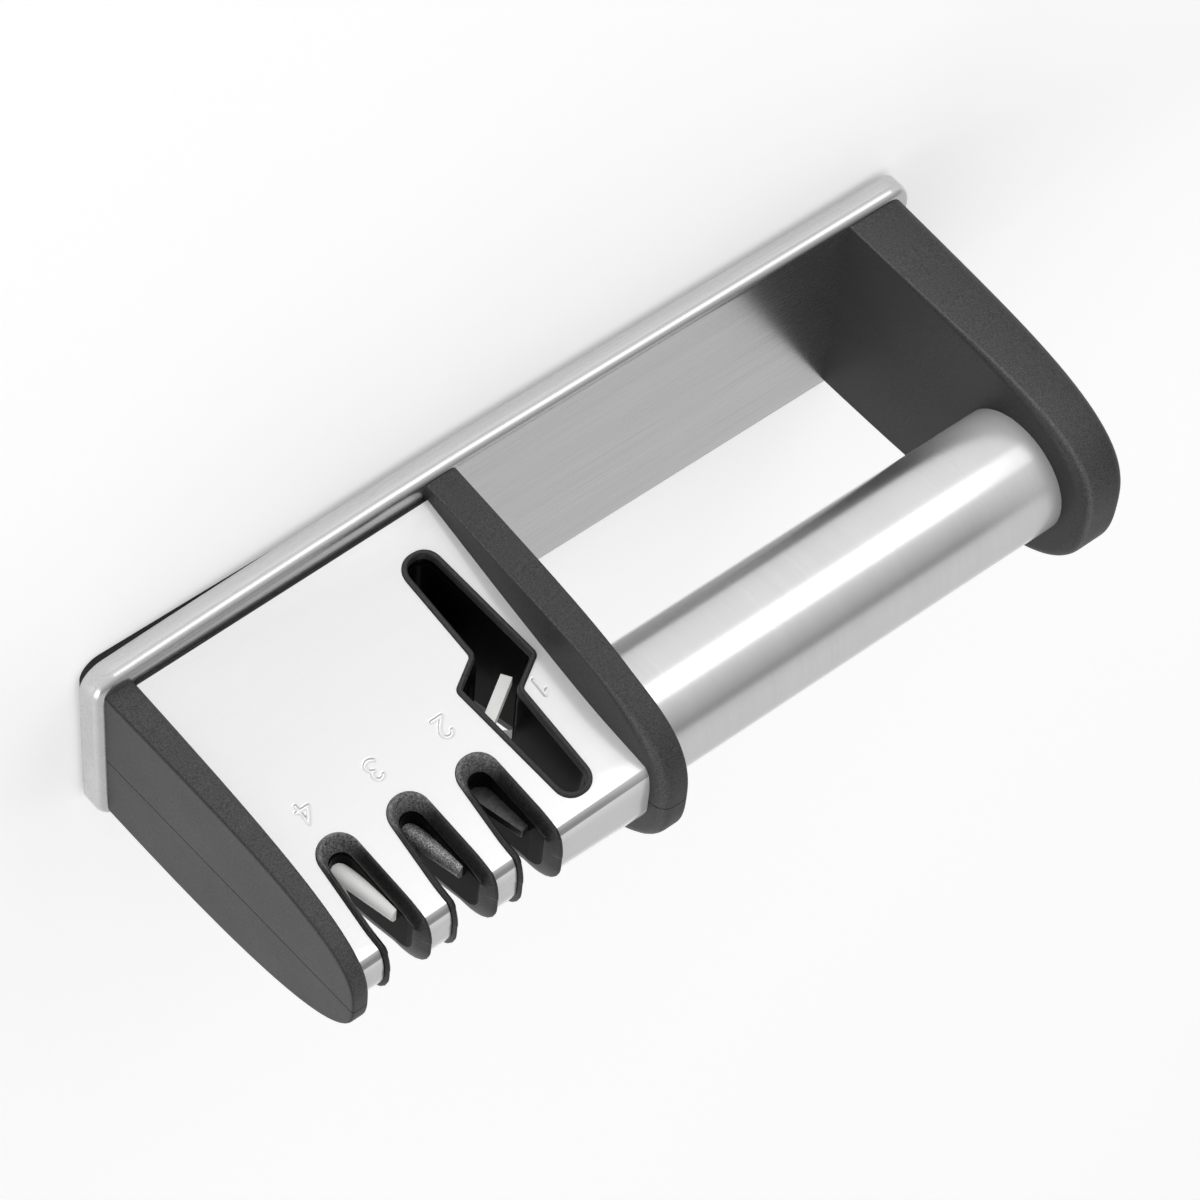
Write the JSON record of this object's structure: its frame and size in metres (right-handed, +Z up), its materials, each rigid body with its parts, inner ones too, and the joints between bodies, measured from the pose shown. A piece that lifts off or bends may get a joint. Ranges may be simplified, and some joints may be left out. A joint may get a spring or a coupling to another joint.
{
  "type": "pull-through knife sharpener",
  "caption": "Bench sharpener: a steel-covered black module with open V slots and a cranked scissors slot, beside a round steel bar handle, on a sheet-steel tray with a rubber mat.",
  "frame": {"origin": "middle of the base on the table plane, at the bottom of the rubber mat", "axes": "+X along the base from the handle bracket to the sharpening module's end wall, +Z up, -Y the front with the stage digits"},
  "size_m": [0.219, 0.057, 0.0868],
  "materials": {
    "rubber": "matt",
    "dark_plastic": "matt",
    "tray_steel": "brushed along the length",
    "screw_steel": "zinc plated",
    "black_plastic": "fine spark-eroded texture",
    "tube_steel": "brushed round the tube",
    "cover_steel": "fine satin",
    "gloss_black": "gloss",
    "ceramic": "smooth fired ceramic",
    "carbide": "ground",
    "diamond": "fine grit coating"
  },
  "bodies": {
    "root": {"rubber_mat": "rubber", "base_frame": "dark_plastic", "base_tray": "tray_steel", "bracket_screws": "screw_steel", "module_screws": "screw_steel", "handle_bracket": "black_plastic", "handle_tube": "tube_steel", "bracket_plug": "dark_plastic", "module_plug": "dark_plastic", "plug_screws": "screw_steel", "front_shell": "black_plastic", "back_shell": "black_plastic", "shell_screws": "screw_steel", "steel_cover": "cover_steel", "scissors_holder": "gloss_black", "scissors_rod_front": "ceramic", "scissors_rod_back": "ceramic", "carbide_holder": "gloss_black", "carbide_blade_front": "carbide", "carbide_blade_back": "carbide", "diamond_holder": "gloss_black", "diamond_rod_front": "diamond", "diamond_rod_back": "diamond", "ceramic_holder": "gloss_black", "ceramic_rod_front": "ceramic", "ceramic_rod_back": "ceramic"}
  },
  "joints": []
}
